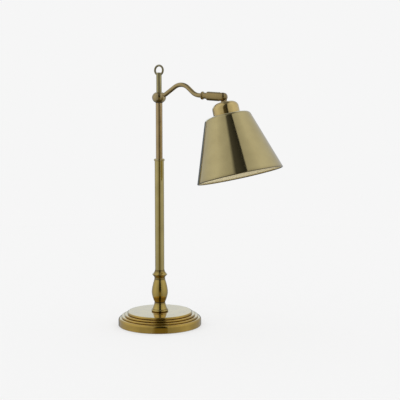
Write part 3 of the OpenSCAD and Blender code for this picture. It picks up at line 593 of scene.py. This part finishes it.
# Lower tube and its collar
# Drawn brass tube, plugged and brazed at its foot into the baluster. A bead collar finishes its top
# and hides the bush that guides the sliding tube.
tube_wall = 1.2


def drawn_tube(node):
    """A tube with slightly broken edges, on its node's own axis."""
    low, high = span(node)
    inner = high.x - tube_wall
    outline = [(inner, low.z, 0.2), (high.x, low.z, 0.3), (high.x, high.z, 0.3), (inner, high.z, 0.2)]
    return turned(outline, steps=96, closed=True, longest=20)


lower_tube = make_piece(
    drawn_tube("lower_tube"), "lower_stem",
    brass("lower_tube_brass", (0.62, 0.505, 0.185), (0.16, 0.115, 0.03), 0.09))
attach(lower_tube, "stand")
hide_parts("lower_tube")

low, high = span("tube_collar")
tube_r = 9.05
passage_r = 6.9
lip_z = high.z - 1.4
foot_in, foot_up = 0.5, 1.0
brow_in, brow_down = 0.9, 1.2
outline = [
    (tube_r, low.z, 0.1), (high.x - foot_in, low.z, 0.3), (high.x, low.z + foot_up, 0.5),
    (high.x, high.z - brow_down, 0.6), (high.x - brow_in, high.z, 0.6),
    (passage_r, high.z, 0.3), (passage_r, lip_z, 0.1), (tube_r, lip_z, 0),
]
collar = make_piece(
    turned(outline, steps=96, closed=True), "bead_collar",
    brass("collar_brass", (0.62, 0.51, 0.24), (0.16, 0.115, 0.035), 0.16))
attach(collar, "stand")
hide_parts("tube_collar")

# Bushes and washers
# Turned from natural nylon: a guide in the lower tube, a friction bush on the sliding tube, and a
# dark washer on which the ball turns. They take up the play and hold the stem by friction.


def nylon(name, dark, light):
    """Smooth nylon, a little mottled."""
    finish, tree, shader, place = new_finish(name)
    mottle = noise(tree, place, 250, 3)
    tree.links.new(two_tone(tree, mottle, dark, light), shader.inputs["Base Color"])
    tree.links.new(between(tree, mottle, (0.2, 0.8), 0.38, 0.5), shader.inputs["Roughness"])
    raise_grain(tree, shader, mottle, 0.1, 0.0002)
    return finish


natural_nylon = nylon("natural_nylon", (0.62, 0.58, 0.48), (0.74, 0.70, 0.60))
brown_nylon = nylon("brown_nylon", (0.03, 0.022, 0.012), (0.06, 0.045, 0.025))
dress_nodes(natural_nylon, "guide_bush", "friction_bush")
dress_nodes(brown_nylon, "thrust_washer", "pivot_washers")

# Sliding tube
# A thinner drawn tube that slides in the lower one and carries the swivel rod in its top.
upper_tube = make_piece(
    drawn_tube("upper_tube"), "sliding_stem",
    brass("upper_tube_brass", (0.58, 0.425, 0.205), (0.16, 0.105, 0.04), 0.11))
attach(upper_tube, "post")
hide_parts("upper_tube")

# Swivel rod and ring finial
# A brass bar, brazed into the sliding tube, passes through the ball. Its rounded top is slotted, and
# a ring of round wire is brazed into the slot as a handle.


def carve(bm, other, operation="DIFFERENCE"):
    """Cuts one closed shape out of another, or joins the two, and returns what is left."""
    solids = []
    for shape in (bm, other):
        mesh = bpy.data.meshes.new("solid")
        shape.to_mesh(mesh)
        shape.free()
        solids.append(bpy.data.objects.new("solid", mesh))
        scene.collection.objects.link(solids[-1])
    cut = solids[0].modifiers.new("cut", "BOOLEAN")
    cut.operation = operation
    cut.solver = "EXACT"
    cut.object = solids[1]
    left = bmesh.new()
    left.from_object(solids[0], bpy.context.evaluated_depsgraph_get())
    for solid in solids:
        mesh = solid.data
        bpy.data.objects.remove(solid)
        bpy.data.meshes.remove(mesh)
    bmesh.ops.remove_doubles(left, verts=left.verts[:], dist=0.002 * MM)
    return left


def round_bar(radius, length, steps=64):
    """A plain bar along Z, centred on the origin, as a cutter."""
    bm = bmesh.new()
    bmesh.ops.create_cone(bm, cap_ends=True, segments=steps, radius1=radius * MM, radius2=radius * MM,
                          depth=length * MM)
    return bm


low, high = span("ring_finial")
ring_centre = (low + high) / 2
ring_r = (high.x - low.x) / 2
wire_r = (high.y - low.y) / 2
rod_low, rod_high = span("rod")
rod_r = rod_high.x
rod_round = 2.2
play = 0.05
outline = [(0, rod_low.z, 0), (rod_r, rod_low.z, 0.3), (rod_r, rod_high.z, rod_round), (0, rod_high.z, 0)]
bm = turned(outline, steps=96, longest=20)
slot = round_bar(ring_r + play, 2 * (wire_r + play), steps=96)
slot_place = Matrix.Translation(ring_centre * MM) @ Matrix.Rotation(math.pi / 2, 4, "X")
bmesh.ops.transform(slot, verts=slot.verts[:], matrix=slot_place)
rod = make_piece(
    carve(bm, slot), "swivel_rod",
    brass("rod_brass", (0.45, 0.395, 0.185), (0.12, 0.09, 0.035), 0.14))
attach(rod, "post")
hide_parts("rod")

bm = bmesh.new()
bmesh.ops.create_circle(bm, segments=32, radius=wire_r * MM)
bmesh.ops.translate(bm, verts=bm.verts[:], vec=((ring_r - wire_r) * MM, 0, 0))
bmesh.ops.spin(bm, geom=bm.verts[:] + bm.edges[:], cent=(0, 0, 0), axis=(0, 1, 0), angle=2 * math.pi,
               steps=96, use_merge=True)
bmesh.ops.recalc_face_normals(bm, faces=bm.faces[:])
bmesh.ops.translate(bm, verts=bm.verts[:], vec=ring_centre * MM)
ring = make_piece(bm, "ring_handle", brass("ring_brass", (0.34, 0.30, 0.165), (0.09, 0.07, 0.03), 0.17))
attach(ring, "post")
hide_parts("ring_finial")

# Ball boss
# A turned brass ball, a little wider than high, bored for the rod and cut flat where it turns on its
# washer. A grub screw in its back runs in a groove of the rod and limits the swing.
joint_places = {joint["name"]: Vector(joint["pos_m"]) for joint in frame["joints"] if "pos_m" in joint}
ball_centre = joint_places["arm_swing"]
low, high = span("ball_boss")
ball_r = high.x
ball_z = ball_centre.z / MM
bore_r = rod_r + play
ball_round = 10.8
core_r = ball_r - ball_round
foot_angle = -math.degrees(math.asin((ball_z - low.z) / ball_round))
top_angle = math.degrees(math.acos((bore_r - core_r) / ball_round))
outline = [(bore_r, low.z, 0), *arc((core_r, ball_z), ball_round, foot_angle, top_angle, 40)]
bm = turned(outline, steps=96, closed=True)
grub_low, grub_high = span("swivel_screw")
grub_r = (grub_high.y - grub_low.y) / 2
hole = round_bar(grub_r + play, ball_r, steps=48)
hole_middle = Vector((-ball_r, 0, (grub_low.z + grub_high.z) / 2)) * MM
hole_place = Matrix.Translation(hole_middle) @ Matrix.Rotation(math.pi / 2, 4, "Y")
bmesh.ops.transform(hole, verts=hole.verts[:], matrix=hole_place)
ball = make_piece(
    carve(bm, hole), "swivel_ball",
    brass("ball_brass", (0.51, 0.395, 0.18), (0.13, 0.09, 0.03), 0.16, place=ball_centre))
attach(ball, "arm")
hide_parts("ball_boss")
dress_nodes(zinc, "swivel_screw", "pivot_screw", "cap_nut")

# Swan-neck arm
# Brass tube, bent cold over formers: a short rise out of the ball, a climb, a tight crest, a fall
# and a curve that levels out into the ferrule. It is brazed into the ball.
arm_r = 4.25
arm_start = 8.1
rise_out = 20.0

# Each straight run's length, the radius of the bend after it, and the rise in degrees after the bend.
arm_runs = [
    (5.9, 15.0, 33.0),
    (23.5, 24.5, -41.0),
    (13.5, 24.5, -4.6),
]
arm_tail = 30.1
droop = -arm_runs[-1][2]


def heading(angle):
    """The direction of the arm's centre line at a rise in degrees."""
    return Vector((math.cos(math.radians(angle)), 0, math.sin(math.radians(angle))))


bm = bmesh.new()
bmesh.ops.create_circle(bm, segments=48, radius=arm_r * MM)
at = ball_centre + heading(rise_out) * arm_start * MM
facing = Matrix.Translation(at) @ Matrix.Rotation(math.radians(90 - rise_out), 4, "Y")
bmesh.ops.transform(bm, verts=bm.verts[:], matrix=facing)
end = bm.edges[:]
rise_now = rise_out


def run_straight(bm, edges, step):
    """Draws the tube's open end on by a step and returns the new end."""
    made = bmesh.ops.extrude_edge_only(bm, edges=edges)["geom"]
    tip = [part for part in made if isinstance(part, bmesh.types.BMVert)]
    bmesh.ops.translate(bm, verts=tip, vec=step)
    return [part for part in made if isinstance(part, bmesh.types.BMEdge)]


for run, bend_r, rise_next in arm_runs:
    end = run_straight(bm, end, heading(rise_now) * run * MM)
    at = at + heading(rise_now) * run * MM
    sense = math.copysign(1, rise_next - rise_now)
    centre = at + sense * heading(rise_now + 90) * bend_r * MM
    bend = math.radians(abs(rise_next - rise_now))
    spun = bmesh.ops.spin(bm, geom=end, cent=centre, axis=(0, -sense, 0), angle=bend, steps=18)
    end = [part for part in spun["geom_last"] if isinstance(part, bmesh.types.BMEdge)]
    at = centre - sense * heading(rise_next + 90) * bend_r * MM
    rise_now = rise_next
arm_end = at.copy()
run_straight(bm, end, heading(rise_now) * arm_tail * MM)
bmesh.ops.holes_fill(bm, edges=[edge for edge in bm.edges if edge.is_boundary])
bmesh.ops.recalc_face_normals(bm, faces=bm.faces[:])
arm = make_piece(bm, "swan_neck", brass("arm_brass", (0.505, 0.38, 0.158), (0.14, 0.095, 0.032), 0.17))
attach(arm, "arm")
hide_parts("arm_tube")

# Ferrule and knuckle
# Two turned brass pieces on the arm's end: a short ferrule with a bead, and a bullet-shaped knuckle
# whose nose is slotted for the tongue and cross-drilled for the pivot screw.
bare_run = 5.2
ferrule_len = 12.9
ferrule_r = 5.8
ferrule_bead_r = 7.7
ferrule_bead_w = 4.6
bead_end = 65
knuckle_len = 33.4
knuckle_r = 8.4
knuckle_round = 1.2
socket_depth = 10
slot_w = 7.0
slot_root = 8.5
screw_head_r = 3.6
screw_head_y = 5.6
along_arm = Matrix.Rotation(math.radians(90 + droop), 4, "Y")
ferrule_place = arm_end + heading(-droop) * bare_run * MM
bead_middle = ferrule_bead_r - ferrule_bead_w / 2, ferrule_bead_w / 2
bead_foot = ferrule_bead_w + 0.2
outline = [
    (arm_r, 0, 0.2), *arc(bead_middle, ferrule_bead_w / 2, -90, bead_end, 14),
    (ferrule_r, bead_foot, 0.3), (ferrule_r, ferrule_len, 0.1), (arm_r, ferrule_len, 0),
]
bm = turned(outline, steps=72, closed=True)
bmesh.ops.transform(bm, verts=bm.verts[:], matrix=Matrix.Translation(ferrule_place) @ along_arm)
arm_turn = (0, math.radians(90 + droop), 0)
knuckle_finish = brass(
    "knuckle_brass", (0.42, 0.305, 0.105), (0.08, 0.055, 0.018), 0.16, place=ferrule_place, turn=arm_turn)
ferrule = make_piece(bm, "bead_ferrule", knuckle_finish)
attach(ferrule, "arm")
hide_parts("arm_ferrule")

pivot = joint_places["head_tilt"]
knuckle_end = knuckle_len + knuckle_r

# Just short of the full radius, so that the nose keeps its point on the axis.
nose_round = knuckle_r - 0.01
outline = [
    (arm_r + play, 0, 0), (knuckle_r, 0, knuckle_round), (knuckle_r, knuckle_end, nose_round),
    (0, knuckle_end, 0), (0, socket_depth, 0), (arm_r + play, socket_depth, 0),
]
bm = turned(outline, steps=96, closed=True, longest=1.5)
cutter = bmesh.new()
cutter_w = 4 * knuckle_r
slot_size = Matrix.Diagonal((cutter_w * MM, slot_w * MM, cutter_w * MM, 1))
slot_middle = Matrix.Translation((0, 0, (knuckle_len - slot_root + cutter_w / 2) * MM))
bmesh.ops.create_cube(cutter, size=1, matrix=slot_middle @ slot_size)
bm = carve(bm, cutter)
recess = round_bar(screw_head_r, 2 * knuckle_r, steps=48)
recess_middle = 0, (screw_head_y + knuckle_r) * MM, knuckle_len * MM
recess_place = Matrix.Translation(recess_middle) @ Matrix.Rotation(math.pi / 2, 4, "X")
bmesh.ops.transform(recess, verts=recess.verts[:], matrix=recess_place)
bm = carve(bm, recess)
knuckle_place = pivot - heading(-droop) * knuckle_len * MM
bmesh.ops.transform(bm, verts=bm.verts[:], matrix=Matrix.Translation(knuckle_place) @ along_arm)
knuckle = make_piece(bm, "bullet_knuckle", knuckle_finish)
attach(knuckle, "arm")
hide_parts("knuckle")

# Tongue
# A flat brass tab with a round top turns in the knuckle's slot, between two friction washers. Its
# threaded stud below carries the cap and the lampholder.
head_tilt = math.radians(14)
in_head = Matrix.Translation(pivot) @ Matrix.Rotation(-head_tilt, 4, "Y")
head_turn = (0, -head_tilt, 0)
tab_r = 8.1
tab_half = 5.1
tab_foot = -10.7
tab_t = 5.8
tab_bevel = 0.4
stud_r = 5.0
stud_end = -24.9
bm = bmesh.new()
hip = -math.degrees(math.acos(tab_half / tab_r))
corners = [(-tab_half, tab_foot), (tab_half, tab_foot)]
corners += [(x, z) for x, z, _ in arc((0, 0), tab_r, hip, 180 - hip, 40)]
bm.faces.new([bm.verts.new((x * MM, -tab_t / 2 * MM, z * MM)) for x, z in corners])
made = bmesh.ops.extrude_face_region(bm, geom=bm.faces[:])["geom"]
far_side = [part for part in made if isinstance(part, bmesh.types.BMVert)]
bmesh.ops.translate(bm, verts=far_side, vec=(0, tab_t * MM, 0))
bmesh.ops.recalc_face_normals(bm, faces=bm.faces[:])
rims = [edge for edge in bm.edges if edge.calc_face_angle(0) > math.radians(60)]
bmesh.ops.bevel(bm, geom=rims, offset=tab_bevel * MM, segments=3, profile=0.5, affect="EDGES", material=-1)
stud = round_bar(stud_r, tab_foot - stud_end, steps=48)
bmesh.ops.translate(stud, verts=stud.verts[:], vec=(0, 0, (tab_foot + stud_end) / 2 * MM))
bm = carve(bm, stud, "UNION")
bmesh.ops.transform(bm, verts=bm.verts[:], matrix=in_head)
tongue = make_piece(
    bm, "pivot_tongue",
    brass("tongue_brass", (0.40, 0.29, 0.11), (0.08, 0.05, 0.015), 0.18, place=pivot, turn=head_turn))
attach(tongue, "head")
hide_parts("tongue")

# Cap
# A deep cup spun from thinner sheet and polished brighter than the rest. A nut on the stud holds it
# over the lampholder's top.
cap_top = tab_foot
cap_h = 22.4
cap_rim = cap_top - cap_h
cap_r = 24.75
cap_t = 1.2
cap_round = 11.5
# Painted shade: the cap's top is darkened where the tongue and the knuckle shade it.
cap_top_painted_shade = cap_top - 3, cap_top - 0.5, cap_top + 1, cap_top + 2
outline = [
    (stud_r, cap_top, 0.2), (cap_r, cap_top, cap_round), (cap_r, cap_rim, 0.4),
    (cap_r - cap_t, cap_rim, 0.3), (cap_r - cap_t, cap_top - cap_t, cap_round - cap_t),
    (stud_r, cap_top - cap_t, 0),
]
bm = turned(outline, steps=128, closed=True)
bmesh.ops.transform(bm, verts=bm.verts[:], matrix=in_head)
cap = make_piece(
    bm, "polished_cap",
    brass("cap_brass", (0.82, 0.62, 0.235), (0.10, 0.06, 0.02), 0.12, place=pivot, turn=head_turn,
          painted_shades=[cap_top_painted_shade]))
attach(cap, "head")
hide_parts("cap")

# Lampholder and shade ring
# Black moulded phenolic: a threaded skirt with a flange under the cap, and a ribbed ring that screws
# up the skirt and grips the shade. The contacts inside are brass.


def phenolic():
    """Glossy black moulding compound."""
    finish, tree, shader, place = new_finish("black_phenolic")
    flow = noise(tree, place, 300, 4)
    tone = two_tone(tree, flow, (0.010, 0.009, 0.008), (0.024, 0.02, 0.017))
    tree.links.new(tone, shader.inputs["Base Color"])
    tree.links.new(between(tree, flow, (0.2, 0.8), 0.22, 0.34), shader.inputs["Roughness"])
    raise_grain(tree, shader, flow, 0.1, 0.0002)
    return finish


moulding = phenolic()
holder_r = 14.1
holder_mouth = cap_rim - 30.8
holder_top = cap_rim + 10
holder_flange_r = 18.0
holder_flange_t = 2.0
boss_r = 8.5
boss_top = cap_rim + 17.5
lamp_socket_r = 7.7
lamp_socket_top = holder_mouth + 24
thread_top = cap_rim - 7.0
thread_pitch = 2.8
thread_depth = 0.6
thread_turns = 8
mouth_taper = 0.2
flange_top = cap_rim + holder_flange_t
outline = [
    (stud_r, boss_top, 0.2), (boss_r, boss_top, 0.5), (boss_r, holder_top, 0.5),
    (holder_r, holder_top, 0.8), (holder_r, flange_top, 0.2), (holder_flange_r, flange_top, 0.4),
    (holder_flange_r, cap_rim, 0.4), (holder_r, cap_rim, 0.2),
]
for turn in range(thread_turns):
    root = thread_top - turn * thread_pitch
    outline += [(holder_r - thread_depth, root, 0.3), (holder_r, root - thread_pitch / 2, 0.4)]
outline += [
    (holder_r - mouth_taper, holder_mouth, 0.5), (lamp_socket_r, holder_mouth, 0.5),
    (lamp_socket_r, lamp_socket_top, 0), (0, lamp_socket_top, 0),
    (0, holder_top, 0), (stud_r, holder_top, 0),
]
bm = turned(outline, steps=96, closed=True)
bmesh.ops.transform(bm, verts=bm.verts[:], matrix=in_head)
holder = make_piece(bm, "lamp_holder", moulding)
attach(holder, "head")
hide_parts("lampholder")

shade_t = 0.9
ring_top = cap_rim - shade_t
ring_h = 4.5
ring_w = 4.8
ring_out = holder_r + ring_w
ribs = 36
rib_steps = 4
rib_depth = 0.5
ribbed_w = 0.8
outline = [
    (holder_r + play, ring_top, 0.2), (ring_out, ring_top, 0.5), (ring_out, ring_top - ring_h, 0.7),
    (holder_r + play, ring_top - ring_h, 0.3),
]
bm = turned(outline, steps=rib_steps * ribs, closed=True)
for point in bm.verts:
    if point.co.xy.length > (ring_out - ribbed_w) * MM:
        step = round(math.atan2(point.co.y, point.co.x) / (2 * math.pi) * rib_steps * ribs) % rib_steps
        point.co.xy *= 1 - (rib_depth / ring_out if step in (1, 2) else 0)
bmesh.ops.recalc_face_normals(bm, faces=bm.faces[:])
bmesh.ops.transform(bm, verts=bm.verts[:], matrix=in_head)
shade_ring = make_piece(bm, "ribbed_ring", moulding)
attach(shade_ring, "head")
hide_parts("shade_ring")
contact_brass = brass("contact_brass", (0.80, 0.60, 0.28), (0.3, 0.2, 0.08), 0.25)
dress_nodes(contact_brass, "screw_shell", "centre_contact")

# Shade
# A cone spun from one brass sheet with a shallow top and a rim rolled inwards over a wire. Its
# outside is satin antique brass, and its inside is sprayed with a pale gold lacquer. Its rolled
# rim gets a dark brass finish as painted shadow.


def pale_lacquer():
    """Sprayed gold lacquer with a fine orange peel."""
    finish, tree, shader, place = new_finish("pale_gold_lacquer")
    spray = noise(tree, place, 500, 4)
    tone = two_tone(tree, spray, (0.70, 0.62, 0.395), (0.76, 0.68, 0.45))
    tree.links.new(tone, shader.inputs["Base Color"])
    tree.links.new(between(tree, spray, (0.2, 0.8), 0.4, 0.5), shader.inputs["Roughness"])
    raise_grain(tree, shader, spray, 0.15, 0.0002)
    return finish


hole_r = holder_r + 0.2
seat_r = cap_r + 1.0
top_slope = math.radians(12)
corner_r = 42.25
corner_z = cap_rim - (corner_r - seat_r) * math.tan(top_slope)
corner_round = 4.2
side_h = 112.0
rim_r = 80.0
rim_z = corner_z - side_h
roll_r = 1.3
roll_turn = 310
roll_lead = 20
roll_end = rim_r - shade_t - 2.2, rim_z + 4.0
side = math.atan2(rim_r - corner_r, corner_z - rim_z)
roll_out = roll_r - shade_t / 2
roll_middle = rim_r - roll_out * math.cos(side), rim_z - roll_out * math.sin(side)
roll_start = math.degrees(side) + roll_lead
outline = [
    (hole_r, cap_rim, 0.1), (seat_r, cap_rim, 1.0), (corner_r, corner_z, corner_round),
    *arc(roll_middle, roll_r, roll_start, roll_start - roll_turn, 18),
    (*roll_end, 0.4), (corner_r - shade_t * 0.9, corner_z - shade_t, corner_round - shade_t),
    (seat_r, cap_rim - shade_t, 1.0), (hole_r, cap_rim - shade_t, 0.1),
]
bm = turned(outline, steps=224, closed=True, longest=6.0)
outer_skin, inner_skin, shadowed_rim_skin = range(3)
hole_edge_r = 20
inward_lean = -0.3
downward_lean = -0.5
roll_top = rim_z + 0.3
for face in bm.faces:
    middle = face.calc_center_median()
    outwards = Vector((*middle.xy, 0)).normalized()
    inside_wall = face.normal.dot(outwards) < inward_lean and middle.xy.length > hole_edge_r * MM
    under_top = face.normal.z < downward_lean
    face.material_index = inner_skin if inside_wall or under_top else outer_skin
    # Painted shadow: the rolled rim's faces get the dark rim finish, for the shade and dark reflection in
    # the roll.
    if middle.z < roll_top * MM:
        face.material_index = shadowed_rim_skin
bmesh.ops.transform(bm, verts=bm.verts[:], matrix=in_head)
shade = make_piece(
    bm, "spun_shade",
    brass("shade_brass", (0.63, 0.525, 0.24), (0.34, 0.265, 0.10), 0.085, place=pivot, turn=head_turn),
    pale_lacquer(),
    brass("rim_shadow_brass", (0.28, 0.22, 0.10), (0.1, 0.08, 0.035), 0.2, place=pivot, turn=head_turn))
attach(shade, "head")
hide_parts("shade")

# Bulb
# A small opal globe, blown and flashed white inside, cemented into a nickel screw cap.


def opal_glass():
    """White flashed glass."""
    finish, tree, shader, place = new_finish("opal_glass")
    flash = noise(tree, place, 60, 2)
    tone = two_tone(tree, flash, (0.80, 0.79, 0.75), (0.86, 0.85, 0.82))
    tree.links.new(tone, shader.inputs["Base Color"])
    tree.links.new(between(tree, flash, (0.2, 0.8), 0.12, 0.18), shader.inputs["Roughness"])
    shader.inputs["Coat Weight"].default_value = 0.3
    return finish


globe_r = 22.5
globe_z = holder_mouth - 30.0
shoulder_h = 8.0
bulb_neck_r = 6.85
bulb_neck_z = holder_mouth - 2.5
flare_r = bulb_neck_r + 0.2
flare_z = bulb_neck_z - 1.5
shoulder_angle = math.degrees(math.asin(shoulder_h / globe_r))
outline = [
    (0, bulb_neck_z, 0), (bulb_neck_r, bulb_neck_z, 0.3), (flare_r, flare_z, 1.0),
    *arc((0, globe_z), globe_r, shoulder_angle, -90, 32),
]
bm = turned(outline, steps=96)
bmesh.ops.transform(bm, verts=bm.verts[:], matrix=in_head)
bulb = make_piece(bm, "opal_globe", opal_glass())
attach(bulb, "head")
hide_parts("bulb_glass")
dress_nodes(zinc, "bulb_cap")
